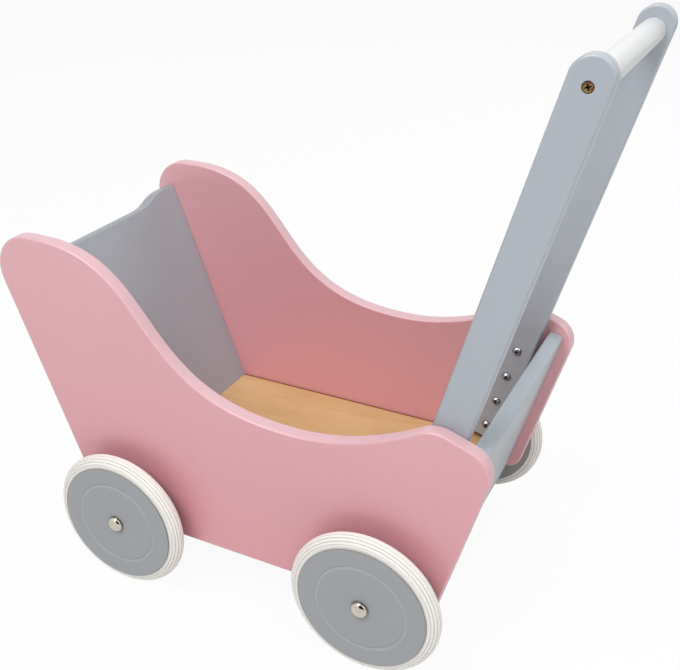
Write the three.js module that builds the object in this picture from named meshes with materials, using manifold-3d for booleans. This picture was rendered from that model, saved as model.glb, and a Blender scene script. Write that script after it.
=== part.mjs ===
// A wooden doll pram. Two curved side boards, a leaning head board, a leaning foot board and a plywood
// floor make the tub. Two arms screwed inside the sides carry a turned handle, and four wooden wheels
// with ribbed rubber tyres turn on two steel axles, held by push-on caps.
// Millimetres, +Z up. The pram travels along -X, the handle is at +X and its left side is at -Y.

import * as THREE from 'three';
import { mergeVertices } from 'three/addons/utils/BufferGeometryUtils.js';
import Module from 'manifold-3d';

const wasm = await Module();
wasm.setup();

// Clearances
const SEAT_GAP = 0.3; // between pieces that are fixed to each other
const RUN_GAP = 0.3; // between a wheel and the pieces beside it

// Tub. Heights are taken from the lower edge of the side boards, lengths from the front axle unless noted.
const INNER_WIDTH = 205;
const WHEELBASE = 220;
const BOARD = 12;
const EDGE_ROUND = 1.5;
const FRONT_LEAN = THREE.MathUtils.degToRad(20.5);
const REAR_LEAN = THREE.MathUtils.degToRad(15);
const SIDE_FRONT_HEIGHT = 241;
const SIDE_FRONT_RADIUS = 30;
const SIDE_FRONT_X = -80; // centre of the round front corner
const SIDE_LOW_HEIGHT = 127.5;
const LOW_AHEAD = 70; // lowest point of the top edge, in front of the rear axle
const SIDE_CREST_HEIGHT = 160.2;
const CREST_BEHIND = 40.6; // highest point of the rear part, behind the rear axle
const SIDE_CREST_RADIUS = 22.9;
const CREST_RISE = THREE.MathUtils.degToRad(30.5); // slope of the top edge in front of the crest
const CREST_FALL = THREE.MathUtils.degToRad(19.9); // slope of the top edge behind the crest
const SIDE_REAR_RADIUS = 21;
const REAR_BEHIND = 59.3; // centre of the round rear corner, behind the rear axle
const SIDE_REAR_HEIGHT = 132.6;
const SIDE_FOOT_RADIUS = 12; // round corners at both ends of the lower edge
const SWEEP_HIGH_FLAT = 12; // level stretch behind the round front corner
const SWEEP_HIGH_PULL = 110; // handles of the long S in the top edge
const SWEEP_LOW_PULL = 144;
const HEAD_INSET = 9; // outer face of the head board behind the front edge of the sides
const HEAD_LENGTH = 221; // along its slope, at the low middle of its top edge
const HEAD_WAVE = 8; // rise of its top edge towards the sides
const HEAD_DIP_HALF = 46; // half width of the level middle
const HEAD_WAVE_RUN = 31; // width of each rise
const FOOT_INSET = 9.4;
const FOOT_LENGTH = 145.7;
const FLOOR_BOARD = 9;
const FLOOR_HEIGHT = 27.3; // top of the floor

// Dowels that join the boards end to face
const DOWEL_RADIUS = 2.5;
const DOWEL_IN_SIDE = 7;
const DOWEL_IN_BOARD = 15;
const DOWEL_END_MARGIN = 30; // first and last dowel of a row, from the ends of the joint
const FLOOR_DOWELS = 3;
const BOARD_DOWELS = 2;

// Handle
const ARM_WIDTH = 26.4;
const ARM_BOARD = 12;
const ARM_ROUND = 1.6;
const ARM_LENGTH = 388.3;
const ARM_SETBACK = 4.35; // from the foot board to the arm
const ARM_FLOOR_GAP = 2.5; // under the lowest corner of the arm
const HANDLE_FROM_END = 17.5; // handle axis below the round end of the arm
const HANDLE_RADIUS = 9;
const HANDLE_EASE = 1.5;

// Screws
const ARM_SCREWS = 4;
const ARM_SCREW_FIRST = 13; // from the square end of the arm
const ARM_SCREW_PITCH = 27.2;
const ARM_SCREW_HEAD = 4; // radius
const ARM_SCREW_HEAD_HEIGHT = 2.6;
const ARM_SCREW_BITE = 8; // length held in the side board
const HANDLE_SCREW_HEAD = 3.4;
const HANDLE_SCREW_SINK = 0.4; // head below the face of the arm
const HANDLE_SCREW_BITE = 25;
const SHANK_RADIUS = 2;
const SCREW_POINT = 2.5; // length of the tapered tip

// Wheels
const AXLE_RISE = 12.5; // axle above the lower edge of the sides
const AXLE_RADIUS = 3;
const AXLE_CHAMFER = 0.6;
const DISC_RADIUS = 51.5;
const DISC_BOARD = 16;
const DISC_EASE = 0.7;
const RIM_FLANGE = 1; // width of the lips on both sides of the tyre
const RIM_DEPTH = 2; // depth of the seat under the tyre
const RING_RADIUS = 36; // turned ring on the outer face
const RING_WIDTH = 3.6;
const RING_DEPTH = 1;
const TYRE_STAND = 8.5; // middle rib above the rim of the disc
const TYRE_RIBS = 5;
const TYRE_GROOVE = 1.2; // depth
const TYRE_CROWN = 5.4; // drop from the middle rib to the outermost edges
const WASHER_RADIUS = 8;
const WASHER_BOARD = 1;
const SPACER_RADIUS = 5.5;
const SPACER_LENGTH = 7.3;
const CAP_RADIUS = 6.3;
const CAP_HEIGHT = 4.5;
const CAP_WALL = 1.2; // over the end of the axle
const CAP_LIP = 1; // straight lower edge of the dome

// Facets
const ROUND_STEPS = 2; // in a rounded-over edge
const SWEEP_STEPS = 18; // in the long S of the sides
const RISE_STEPS = 8; // in a shorter curve
const CORNER_STEP = THREE.MathUtils.degToRad(15); // of a round corner
const WHEEL_SIDES = 30;
const BAR_SIDES = 20;
const SMALL_SIDES = 12;
const HOLE_SIDES = 8;
const DOME_STEPS = 3;

// Places worked out from the sizes above
const WHEEL_RADIUS = DISC_RADIUS + TYRE_STAND;
const SIDE_BOTTOM = WHEEL_RADIUS - AXLE_RISE;
const SIDE_LOW_X = WHEELBASE - LOW_AHEAD;
const SIDE_CREST_X = WHEELBASE + CREST_BEHIND;
const SIDE_REAR_X = WHEELBASE + REAR_BEHIND;
const SIDE_INNER = INNER_WIDTH / 2;
const SIDE_OUTER = SIDE_INNER + BOARD;
const BOARD_HALF_WIDTH = SIDE_INNER - SEAT_GAP;
const FLOOR_TOP = SIDE_BOTTOM + FLOOR_HEIGHT;
const FLOOR_UNDER = FLOOR_TOP - FLOOR_BOARD;
const HUB_FACE = SIDE_OUTER + WASHER_BOARD + SPACER_LENGTH + 2 * SEAT_GAP + RUN_GAP;
const DISC_FACE = HUB_FACE + DISC_BOARD;
const AXLE_HALF = DISC_FACE + RUN_GAP + CAP_HEIGHT - CAP_WALL - SEAT_GAP;

const FRONT_NORMAL = new THREE.Vector2(-Math.cos(FRONT_LEAN), -Math.sin(FRONT_LEAN));
const REAR_NORMAL = new THREE.Vector2(Math.cos(REAR_LEAN), -Math.sin(REAR_LEAN));
const FRONT_CENTRE = new THREE.Vector2(SIDE_FRONT_X, SIDE_BOTTOM + SIDE_FRONT_HEIGHT - SIDE_FRONT_RADIUS);
const REAR_CENTRE = new THREE.Vector2(SIDE_REAR_X, SIDE_BOTTOM + SIDE_REAR_HEIGHT);
const FRONT_REACH = FRONT_NORMAL.dot(FRONT_CENTRE) + SIDE_FRONT_RADIUS; // edge lines, as distances
const REAR_REACH = REAR_NORMAL.dot(REAR_CENTRE) + SIDE_REAR_RADIUS; // along their normals

// x at height z on a line parallel to a leaning edge, at a distance along the edge's normal
const leanX = (normal, reach, z) => (reach - normal.y * z) / normal.x;

const paint = (color, roughness, metalness = 0) =>
  new THREE.MeshStandardMaterial({ color, roughness, metalness });
const MATERIAL = {
  pink: paint(0xdba9ae, 0.5),
  grey: paint(0xa6abb1, 0.5),
  white: paint(0xf1f0ee, 0.4),
  ply: paint(0xd6aa7d, 0.6),
  beech: paint(0xd9bd94, 0.7),
  rubber: paint(0xeeece4, 0.7),
  steel: paint(0xc4c4c2, 0.3, 1),
  chrome: paint(0xd8d4cc, 0.15, 1),
  brass: paint(0x8a6242, 0.35, 1),
  nylon: paint(0xe6e4de, 0.6),
};

const body = new THREE.Group();

const add = (name, geometry, material, parent = body) => {
  const mesh = new THREE.Mesh(geometry, material);
  mesh.name = name;
  parent.add(mesh);
  return mesh;
};

// Solids for cutting: a closed geometry, welded by position
const solidOf = (geometry) => {
  const bare = geometry.clone();
  bare.deleteAttribute('normal');
  bare.deleteAttribute('uv');
  const welded = mergeVertices(bare, 1e-4);
  return new wasm.Manifold(new wasm.Mesh({
    numProp: 3,
    vertProperties: new Float32Array(welded.attributes.position.array),
    triVerts: new Uint32Array(welded.index.array),
  }));
};

const geometryOf = (solid) => {
  const mesh = solid.getMesh();
  const geometry = new THREE.BufferGeometry();
  geometry.setAttribute('position', new THREE.BufferAttribute(new Float32Array(mesh.vertProperties), 3));
  geometry.setIndex(new THREE.BufferAttribute(new Uint32Array(mesh.triVerts), 1));
  geometry.computeVertexNormals();
  return geometry;
};

const cut = (geometry, tools) =>
  geometryOf(tools.reduce((solid, tool) => solid.subtract(solidOf(tool)), solidOf(geometry)));

const keep = (geometry, room) => geometryOf(solidOf(geometry).intersect(solidOf(room)));

// An outline made of curves laid end to end, each with its own number of steps
const outlineOf = (curves) => {
  const points = curves.flatMap(([curve, steps]) => curve.getPoints(steps));
  return new THREE.Shape(points.filter((point, i) => i === 0 || point.distanceTo(points[i - 1]) > 1e-6));
};

const corner = (x, y, radius, from, to) =>
  [new THREE.EllipseCurve(x, y, radius, radius, from, to), Math.ceil(Math.abs(to - from) / CORNER_STEP)];

// A turned piece about Y. The profile is a list of [radius, y] from the -Y end to the +Y end.
const turned = (profile, sides) => {
  const points = profile.map(([radius, y]) => new THREE.Vector2(radius, y));
  return new THREE.LatheGeometry(points, sides);
};

// A round tool along Y from y0 to y1
const drill = (radius, x, z, y0, y1, sides = HOLE_SIDES) => {
  const length = Math.abs(y1 - y0);
  return new THREE.CylinderGeometry(radius, radius, length, sides).translate(x, (y0 + y1) / 2, z);
};

// A board cut to an outline, with its long edges rounded over on both faces
const roundedBoard = (shape, thickness, round) =>
  new THREE.ExtrudeGeometry(shape, {
    depth: thickness - 2 * round,
    curveSegments: RISE_STEPS,
    bevelSegments: ROUND_STEPS,
    bevelSize: round,
    bevelThickness: round,
    bevelOffset: -round,
  }).translate(0, 0, round);

// Frames in which boards are drawn: u across the sheet, v up the sheet, w through it
const sheetFrame = (u, v, origin) =>
  new THREE.Matrix4().makeBasis(u, v, new THREE.Vector3().crossVectors(u, v)).setPosition(origin);

// Rows of dowels: points spread evenly from one end of a joint to the other
const spread = (count, from, to) =>
  Array.from({ length: count }, (_, i) => from.clone().lerp(to, count > 1 ? i / (count - 1) : 0.5));

// Side boards
const sideOutline = () => {
  const bottom = SIDE_BOTTOM + SIDE_FOOT_RADIUS;
  const frontFoot = leanX(FRONT_NORMAL, FRONT_REACH - SIDE_FOOT_RADIUS, bottom);
  const rearFoot = leanX(REAR_NORMAL, REAR_REACH - SIDE_FOOT_RADIUS, bottom);
  const crest = SIDE_BOTTOM + SIDE_CREST_HEIGHT - SIDE_CREST_RADIUS;
  const crestEnd = Math.PI / 2 + CREST_RISE;
  const low = SIDE_BOTTOM + SIDE_LOW_HEIGHT;
  const riseX = SIDE_CREST_X + SIDE_CREST_RADIUS * Math.cos(crestEnd);
  const riseZ = crest + SIDE_CREST_RADIUS * Math.sin(crestEnd);
  const high = SIDE_BOTTOM + SIDE_FRONT_HEIGHT;
  const highX = SIDE_FRONT_X + SWEEP_HIGH_FLAT;
  const rearAngle = REAR_NORMAL.angle() - 2 * Math.PI;
  const fallAngle = Math.PI / 2 - CREST_FALL;
  const frontAngle = FRONT_NORMAL.angle();
  const point = (x, z) => new THREE.Vector2(x, z);
  const rise = new THREE.QuadraticBezierCurve(
    point(riseX, riseZ),
    point(riseX - (riseZ - low) / Math.tan(CREST_RISE), low),
    point(SIDE_LOW_X, low),
  );
  const sweep = new THREE.CubicBezierCurve(
    point(SIDE_LOW_X, low),
    point(SIDE_LOW_X - SWEEP_LOW_PULL, low),
    point(highX + SWEEP_HIGH_PULL, high),
    point(highX, high),
  );
  return outlineOf([
    corner(rearFoot, bottom, SIDE_FOOT_RADIUS, -Math.PI / 2, rearAngle),
    corner(REAR_CENTRE.x, REAR_CENTRE.y, SIDE_REAR_RADIUS, rearAngle, fallAngle),
    corner(SIDE_CREST_X, crest, SIDE_CREST_RADIUS, fallAngle, crestEnd),
    [rise, RISE_STEPS],
    [sweep, SWEEP_STEPS],
    corner(FRONT_CENTRE.x, FRONT_CENTRE.y, SIDE_FRONT_RADIUS, Math.PI / 2, frontAngle),
    corner(frontFoot, bottom, SIDE_FOOT_RADIUS, frontAngle, 1.5 * Math.PI),
  ]);
};

// Lines through the middle of the head and foot boards, and their inner faces
const headOuter = FRONT_REACH - HEAD_INSET;
const headInner = headOuter - BOARD;
const footOuter = REAR_REACH - FOOT_INSET;
const footInner = footOuter - BOARD;

const dowelRow = (count, normal, reach, heights) =>
  spread(count, ...heights.map((z) => new THREE.Vector2(leanX(normal, reach, z), z)));

const headTop = SIDE_BOTTOM + HEAD_LENGTH * Math.cos(FRONT_LEAN);
const footTop = SIDE_BOTTOM + FOOT_LENGTH * Math.cos(REAR_LEAN);
const floorMid = FLOOR_TOP - FLOOR_BOARD / 2;
const floorFront = leanX(FRONT_NORMAL, headInner - SEAT_GAP, FLOOR_UNDER);
const floorRear = leanX(REAR_NORMAL, footInner - SEAT_GAP, FLOOR_UNDER);
const DOWEL_ROWS = {
  floor: spread(
    FLOOR_DOWELS,
    new THREE.Vector2(floorFront + DOWEL_END_MARGIN, floorMid),
    new THREE.Vector2(floorRear - DOWEL_END_MARGIN, floorMid),
  ),
  head: dowelRow(BOARD_DOWELS, FRONT_NORMAL, headOuter - BOARD / 2,
    [FLOOR_TOP + DOWEL_END_MARGIN, headTop - DOWEL_END_MARGIN]),
  foot: dowelRow(BOARD_DOWELS, REAR_NORMAL, footOuter - BOARD / 2,
    [FLOOR_TOP + DOWEL_END_MARGIN, footTop - DOWEL_END_MARGIN]),
};

// Arms: a line parallel to the foot board, points along it are measured from the square lower end
const armLine = footInner - ARM_SETBACK - ARM_WIDTH / 2;
const armUp = new THREE.Vector2(Math.sin(REAR_LEAN), Math.cos(REAR_LEAN));
const armStartZ = FLOOR_TOP + ARM_FLOOR_GAP + (ARM_WIDTH / 2) * Math.sin(REAR_LEAN);
const armStart = new THREE.Vector2(leanX(REAR_NORMAL, armLine, armStartZ), armStartZ);
const onArm = (along) => armStart.clone().addScaledVector(armUp, along);
const armScrewPoints = Array.from({ length: ARM_SCREWS }, (_, i) =>
  onArm(ARM_SCREW_FIRST + i * ARM_SCREW_PITCH));
const handlePoint = onArm(ARM_LENGTH - HANDLE_FROM_END);
const ARM_OUTER = SIDE_INNER - SEAT_GAP;
const ARM_INNER = ARM_OUTER - ARM_BOARD;
const HANDLE_HALF = ARM_INNER - SEAT_GAP;

const SIDES = { left: -1, right: 1 };
const AXLES = { front: 0, rear: WHEELBASE };

const dowelHoles = (points, y0, y1) =>
  points.map((point) => drill(DOWEL_RADIUS + SEAT_GAP, point.x, point.y, y0, y1));

const sidePanel = (side) => {
  const board = roundedBoard(sideOutline(), BOARD, EDGE_ROUND);
  board.rotateX(Math.PI / 2).translate(0, side < 0 ? -SIDE_INNER : SIDE_OUTER, 0);
  const dowelDepth = side * (SIDE_INNER + DOWEL_IN_SIDE + SEAT_GAP);
  const screwDepth = side * (SIDE_INNER + ARM_SCREW_BITE + SEAT_GAP);
  const inside = side * (SIDE_INNER - BOARD);
  const outside = side * (SIDE_OUTER + BOARD);
  const tools = dowelHoles(Object.values(DOWEL_ROWS).flat(), inside, dowelDepth);
  for (const point of armScrewPoints) {
    tools.push(drill(SHANK_RADIUS + SEAT_GAP, point.x, point.y, inside, screwDepth));
  }
  for (const x of Object.values(AXLES)) {
    tools.push(drill(AXLE_RADIUS + SEAT_GAP, x, WHEEL_RADIUS, inside, outside, SMALL_SIDES));
  }
  return cut(board, tools);
};

// Head and foot boards: drawn in their own plane, longer than needed below and wider at both ends,
// then kept between the sides and above the lower edge of the tub.
const betweenSides = (geometry, holes) => {
  const reach = new THREE.Box3().setFromBufferAttribute(geometry.attributes.position);
  const length = 2 * Math.max(...reach.max.toArray(), ...reach.min.toArray().map(Math.abs));
  const room = new THREE.BoxGeometry(2 * length, 2 * BOARD_HALF_WIDTH, length)
    .translate(0, 0, SIDE_BOTTOM + length / 2);
  return cut(keep(geometry, room), holes);
};

const blindEnds = (points) => {
  const depth = SIDE_INNER - DOWEL_IN_BOARD - SEAT_GAP;
  return Object.values(SIDES).flatMap((side) => dowelHoles(points, side * depth, side * SIDE_OUTER));
};

const headPanel = () => {
  const wing = SIDE_OUTER;
  const below = -2 * BOARD;
  const high = HEAD_LENGTH + HEAD_WAVE;
  const waveEnd = HEAD_DIP_HALF + HEAD_WAVE_RUN;
  const pull = HEAD_WAVE_RUN / 2;
  const shape = new THREE.Shape();
  shape.moveTo(-wing, below);
  shape.lineTo(wing, below);
  shape.lineTo(wing, high);
  shape.lineTo(waveEnd, high);
  shape.bezierCurveTo(waveEnd - pull, high, HEAD_DIP_HALF + pull, HEAD_LENGTH, HEAD_DIP_HALF, HEAD_LENGTH);
  shape.lineTo(-HEAD_DIP_HALF, HEAD_LENGTH);
  shape.bezierCurveTo(-HEAD_DIP_HALF - pull, HEAD_LENGTH, -waveEnd + pull, high, -waveEnd, high);
  shape.lineTo(-wing, high);
  const up = new THREE.Vector3(-Math.sin(FRONT_LEAN), 0, Math.cos(FRONT_LEAN));
  const origin = new THREE.Vector3(leanX(FRONT_NORMAL, headOuter, SIDE_BOTTOM), 0, SIDE_BOTTOM);
  const board = roundedBoard(shape, BOARD, EDGE_ROUND);
  board.applyMatrix4(sheetFrame(new THREE.Vector3(0, 1, 0), up, origin));
  return betweenSides(board, blindEnds(DOWEL_ROWS.head));
};

const footPanel = () => {
  const wing = SIDE_OUTER;
  const below = -2 * BOARD;
  const shape = new THREE.Shape();
  shape.moveTo(-wing, below);
  shape.lineTo(wing, below);
  shape.lineTo(wing, FOOT_LENGTH);
  shape.lineTo(-wing, FOOT_LENGTH);
  const up = new THREE.Vector3(Math.sin(REAR_LEAN), 0, Math.cos(REAR_LEAN));
  const origin = new THREE.Vector3(leanX(REAR_NORMAL, footInner, SIDE_BOTTOM), 0, SIDE_BOTTOM);
  const board = roundedBoard(shape, BOARD, EDGE_ROUND);
  board.applyMatrix4(sheetFrame(new THREE.Vector3(0, 1, 0), up, origin));
  return betweenSides(board, blindEnds(DOWEL_ROWS.foot));
};

// Floor: both ends cut to the lean of the boards that they meet
const floorPanel = () => {
  const shape = new THREE.Shape();
  shape.moveTo(floorFront, FLOOR_UNDER);
  shape.lineTo(floorRear, FLOOR_UNDER);
  shape.lineTo(leanX(REAR_NORMAL, footInner - SEAT_GAP, FLOOR_TOP), FLOOR_TOP);
  shape.lineTo(leanX(FRONT_NORMAL, headInner - SEAT_GAP, FLOOR_TOP), FLOOR_TOP);
  const sheet = new THREE.ExtrudeGeometry(shape, { depth: 2 * BOARD_HALF_WIDTH, bevelEnabled: false });
  sheet.rotateX(Math.PI / 2).translate(0, BOARD_HALF_WIDTH, 0);
  return cut(sheet, blindEnds(DOWEL_ROWS.floor));
};

// Countersink of the handle screw, turned about Y: its mouth is at y = 0 and its neck towards -Y
const SUNK_DEPTH = HANDLE_SCREW_HEAD - SHANK_RADIUS;
const countersink = (mouth) => turned([
  [0, -SUNK_DEPTH],
  [SHANK_RADIUS + SEAT_GAP, -SUNK_DEPTH],
  [HANDLE_SCREW_HEAD + SEAT_GAP, 0],
  [HANDLE_SCREW_HEAD + SEAT_GAP, mouth],
  [0, mouth],
], SMALL_SIDES);

const handleArm = (side) => {
  const half = ARM_WIDTH / 2;
  const shape = new THREE.Shape();
  shape.moveTo(-half, 0);
  shape.lineTo(half, 0);
  shape.absarc(0, ARM_LENGTH - half, half, 0, Math.PI);
  const across = new THREE.Vector3(Math.cos(REAR_LEAN), 0, -Math.sin(REAR_LEAN));
  const up = new THREE.Vector3(armUp.x, 0, armUp.y);
  const origin = new THREE.Vector3(armStart.x, side < 0 ? -ARM_INNER : ARM_OUTER, armStart.y);
  const board = roundedBoard(shape, ARM_BOARD, ARM_ROUND).applyMatrix4(sheetFrame(across, up, origin));
  const inside = side * (ARM_INNER - ARM_BOARD);
  const outside = side * (ARM_OUTER + ARM_BOARD);
  const shank = SHANK_RADIUS + SEAT_GAP;
  const tools = armScrewPoints.map((point) => drill(shank, point.x, point.y, inside, outside));
  tools.push(drill(shank, handlePoint.x, handlePoint.y, inside, outside, SMALL_SIDES));
  const sink = countersink(ARM_BOARD).translate(0, ARM_OUTER - HANDLE_SCREW_SINK, 0);
  if (side < 0) sink.rotateZ(Math.PI);
  tools.push(sink.translate(handlePoint.x, 0, handlePoint.y));
  return cut(board, tools);
};

// Handle: a turned bar with eased ends, drilled at both ends for its screws
const handleBar = () => {
  const ease = HANDLE_EASE;
  const radius = HANDLE_RADIUS;
  const soft = ease * Math.SQRT1_2;
  const end = [
    [radius - ease, HANDLE_HALF],
    [radius - ease + soft, HANDLE_HALF - ease + soft],
    [radius, HANDLE_HALF - ease],
  ];
  const bar = turned([
    [0, -HANDLE_HALF],
    ...end.map(([r, y]) => [r, -y]),
    ...end.toReversed(),
    [0, HANDLE_HALF],
  ], BAR_SIDES);
  bar.translate(handlePoint.x, 0, handlePoint.y);
  const depth = ARM_INNER - HANDLE_SCREW_BITE - SEAT_GAP;
  return cut(bar, Object.values(SIDES).map((side) =>
    drill(SHANK_RADIUS + SEAT_GAP, handlePoint.x, handlePoint.y, side * depth, side * ARM_OUTER)));
};

// Quarter of an ellipse from the rim at y = 0 to the axis at y = height
const dome = (radius, height) =>
  Array.from({ length: DOME_STEPS + 1 }, (_, i) => {
    const angle = (i * Math.PI) / 2 / DOME_STEPS;
    return i < DOME_STEPS ? [radius * Math.cos(angle), height * Math.sin(angle)] : [0, height];
  });

// Screws, turned about Y with the head at y = 0 and the point at +Y
const tipped = (length) => [
  [SHANK_RADIUS, length - SCREW_POINT],
  [0, length],
];
const armScrew = () => turned([
  ...dome(ARM_SCREW_HEAD, -ARM_SCREW_HEAD_HEIGHT).toReversed(),
  [SHANK_RADIUS, 0],
  ...tipped(SEAT_GAP * 2 + ARM_BOARD + ARM_SCREW_BITE),
], SMALL_SIDES);
const handleScrew = () => turned([
  [0, 0],
  [HANDLE_SCREW_HEAD, 0],
  [SHANK_RADIUS, SUNK_DEPTH],
  ...tipped(ARM_BOARD + HANDLE_SCREW_BITE - HANDLE_SCREW_SINK),
], SMALL_SIDES);

const dowel = () => turned([
  [0, -DOWEL_IN_SIDE],
  [DOWEL_RADIUS, -DOWEL_IN_SIDE],
  [DOWEL_RADIUS, DOWEL_IN_BOARD],
  [0, DOWEL_IN_BOARD],
], HOLE_SIDES);

const axle = () => turned([
  [0, -AXLE_HALF],
  [AXLE_RADIUS - AXLE_CHAMFER, -AXLE_HALF],
  [AXLE_RADIUS, AXLE_CHAMFER - AXLE_HALF],
  [AXLE_RADIUS, AXLE_HALF - AXLE_CHAMFER],
  [AXLE_RADIUS - AXLE_CHAMFER, AXLE_HALF],
  [0, AXLE_HALF],
], SMALL_SIDES);

// Wheel pieces, turned about Y with the outer side of the wheel at +Y and y = 0 at the disc's inner face
const ring = (inner, outer, y0, y1) => turned([
  [inner, y0],
  [outer, y0],
  [outer, y1],
  [inner, y1],
  [inner, y0],
], SMALL_SIDES);

const wheelDisc = () => {
  const bore = AXLE_RADIUS + RUN_GAP;
  const seat = DISC_RADIUS - RIM_DEPTH;
  const half = RING_WIDTH / 2;
  return turned([
    [bore, 0],
    [DISC_RADIUS, 0],
    [DISC_RADIUS, RIM_FLANGE],
    [seat, RIM_FLANGE],
    [seat, DISC_BOARD - RIM_FLANGE],
    [DISC_RADIUS, DISC_BOARD - RIM_FLANGE],
    [DISC_RADIUS - DISC_EASE, DISC_BOARD],
    [RING_RADIUS + half, DISC_BOARD],
    [RING_RADIUS, DISC_BOARD - RING_DEPTH],
    [RING_RADIUS - half, DISC_BOARD],
    [bore, DISC_BOARD],
    [bore, 0],
  ], WHEEL_SIDES);
};

// Tyre: ribs side by side under a crowned outline, which is level on the middle rib and drops
// by the square of the distance beside it
const tyre = () => {
  const inner = DISC_RADIUS - RIM_DEPTH + SEAT_GAP;
  const middle = DISC_BOARD / 2;
  const half = middle - RIM_FLANGE - SEAT_GAP;
  const pitch = (2 * half) / TYRE_RIBS;
  const land = pitch / 4; // half width of a rib's top
  const crown = (y) => WHEEL_RADIUS - TYRE_CROWN * (Math.max(0, Math.abs(y) - land) / (half - land)) ** 2;
  const outline = [];
  for (let rib = 0; rib < TYRE_RIBS; rib += 1) {
    const y = -half + (rib + 0.5) * pitch;
    const first = rib === 0 ? -half : y - land;
    const last = rib === TYRE_RIBS - 1 ? half : y + land;
    outline.push([crown(first), first], [crown(last), last]);
    if (rib < TYRE_RIBS - 1) outline.push([crown(y + pitch / 2) - TYRE_GROOVE, y + pitch / 2]);
  }
  const profile = [[inner, -half], ...outline, [inner, half], [inner, -half]];
  return turned(profile.map(([radius, y]) => [radius, middle + y]), WHEEL_SIDES);
};

const hubCap = () => {
  const bore = AXLE_RADIUS + SEAT_GAP;
  return turned([
    [0, CAP_HEIGHT - CAP_WALL],
    [bore, CAP_HEIGHT - CAP_WALL],
    [bore, 0],
    [CAP_RADIUS, 0],
    ...dome(CAP_RADIUS, CAP_HEIGHT - CAP_LIP).map(([radius, y]) => [radius, CAP_LIP + y]),
  ], SMALL_SIDES);
};

// Tub
for (const [name, side] of Object.entries(SIDES)) {
  add(`side_panel_${name}`, sidePanel(side), MATERIAL.pink);
}
add('head_panel', headPanel(), MATERIAL.grey);
add('foot_panel', footPanel(), MATERIAL.grey);
add('floor_panel', floorPanel(), MATERIAL.ply);
for (const [row, points] of Object.entries(DOWEL_ROWS)) {
  points.forEach((point, i) => {
    for (const [name, side] of Object.entries(SIDES)) {
      const pin = add(`dowel_${row}_${i + 1}_${name}`, dowel(), MATERIAL.beech);
      pin.position.set(point.x, side * SIDE_INNER, point.y);
      if (side > 0) pin.rotation.z = Math.PI;
    }
  });
}

// Handle
for (const [name, side] of Object.entries(SIDES)) {
  add(`handle_arm_${name}`, handleArm(side), MATERIAL.grey);
  armScrewPoints.forEach((point, i) => {
    const screw = add(`arm_screw_${i + 1}_${name}`, armScrew(), MATERIAL.steel);
    screw.position.set(point.x, side * (ARM_INNER - SEAT_GAP), point.y);
    if (side < 0) screw.rotation.z = Math.PI;
  });
  const screw = add(`handle_screw_${name}`, handleScrew(), MATERIAL.brass);
  screw.position.set(handlePoint.x, side * (ARM_OUTER - HANDLE_SCREW_SINK), handlePoint.y);
  if (side > 0) screw.rotation.z = Math.PI;
}
add('handle_bar', handleBar(), MATERIAL.white);

// Running gear
for (const [end, x] of Object.entries(AXLES)) {
  add(`axle_${end}`, axle(), MATERIAL.steel).position.set(x, 0, WHEEL_RADIUS);
  for (const [name, side] of Object.entries(SIDES)) {
    const wheel = new THREE.Group();
    wheel.position.set(x, side * HUB_FACE, WHEEL_RADIUS);
    if (side < 0) wheel.rotation.z = Math.PI;
    body.add(wheel);
    const spacerTop = -RUN_GAP;
    const washerTop = spacerTop - SPACER_LENGTH - SEAT_GAP;
    const bore = AXLE_RADIUS + SEAT_GAP;
    add(`wheel_disc_${end}_${name}`, wheelDisc(), MATERIAL.grey, wheel);
    add(`tyre_${end}_${name}`, tyre(), MATERIAL.rubber, wheel);
    add(`wheel_spacer_${end}_${name}`,
      ring(bore, SPACER_RADIUS, spacerTop - SPACER_LENGTH, spacerTop), MATERIAL.nylon, wheel);
    add(`wheel_washer_${end}_${name}`,
      ring(bore, WASHER_RADIUS, washerTop - WASHER_BOARD, washerTop), MATERIAL.steel, wheel);
    add(`hub_cap_${end}_${name}`, hubCap(), MATERIAL.chrome, wheel).position.y = DISC_BOARD + RUN_GAP;
  }
}

// Origin on the ground, under the middle of the whole pram
const extent = new THREE.Box3().setFromObject(body, true);
body.position.x = -(extent.min.x + extent.max.x) / 2;

const pram = new THREE.Group();
pram.add(body);

export default pram;
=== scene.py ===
# %% [markdown]
# # A wooden doll pram
# The pram is a tub of painted boards on four wooden wheels, pushed by a bar between two slanted arms.
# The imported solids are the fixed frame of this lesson. Each visible solid is replaced by a finer surface
# worked out with numpy from the same sizes, so that edges, ribs and screw heads catch the light.

import math

import bmesh
import bpy
import numpy as np
from mathutils import Matrix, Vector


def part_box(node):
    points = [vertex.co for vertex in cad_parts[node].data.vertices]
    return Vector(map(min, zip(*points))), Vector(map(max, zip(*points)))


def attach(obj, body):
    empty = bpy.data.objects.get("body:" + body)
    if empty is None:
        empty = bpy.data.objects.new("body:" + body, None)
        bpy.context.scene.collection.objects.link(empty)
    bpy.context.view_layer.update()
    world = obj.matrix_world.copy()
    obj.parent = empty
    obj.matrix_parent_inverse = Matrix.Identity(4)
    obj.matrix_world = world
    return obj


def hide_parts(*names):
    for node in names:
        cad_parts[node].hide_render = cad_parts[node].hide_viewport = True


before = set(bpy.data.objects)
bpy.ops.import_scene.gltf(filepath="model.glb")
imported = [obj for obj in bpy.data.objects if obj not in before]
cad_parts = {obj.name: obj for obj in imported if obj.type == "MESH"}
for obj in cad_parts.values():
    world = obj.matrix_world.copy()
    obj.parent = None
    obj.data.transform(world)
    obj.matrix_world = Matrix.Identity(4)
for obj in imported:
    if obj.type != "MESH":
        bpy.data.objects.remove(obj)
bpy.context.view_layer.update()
MM = 0.001
ENDS = ("front", "rear")
SIDES = {"left": -1, "right": 1}

# %% [markdown]
# ## The camera
# The picture was taken from behind the left rear wheel, a little above the handle's screws. Its angles,
# distance and focal length were solved from the wheels' ellipses and the straight board edges. The lens
# is set from the focal length in pixels, and a small shift puts the optical axis where the crop left it.

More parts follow.
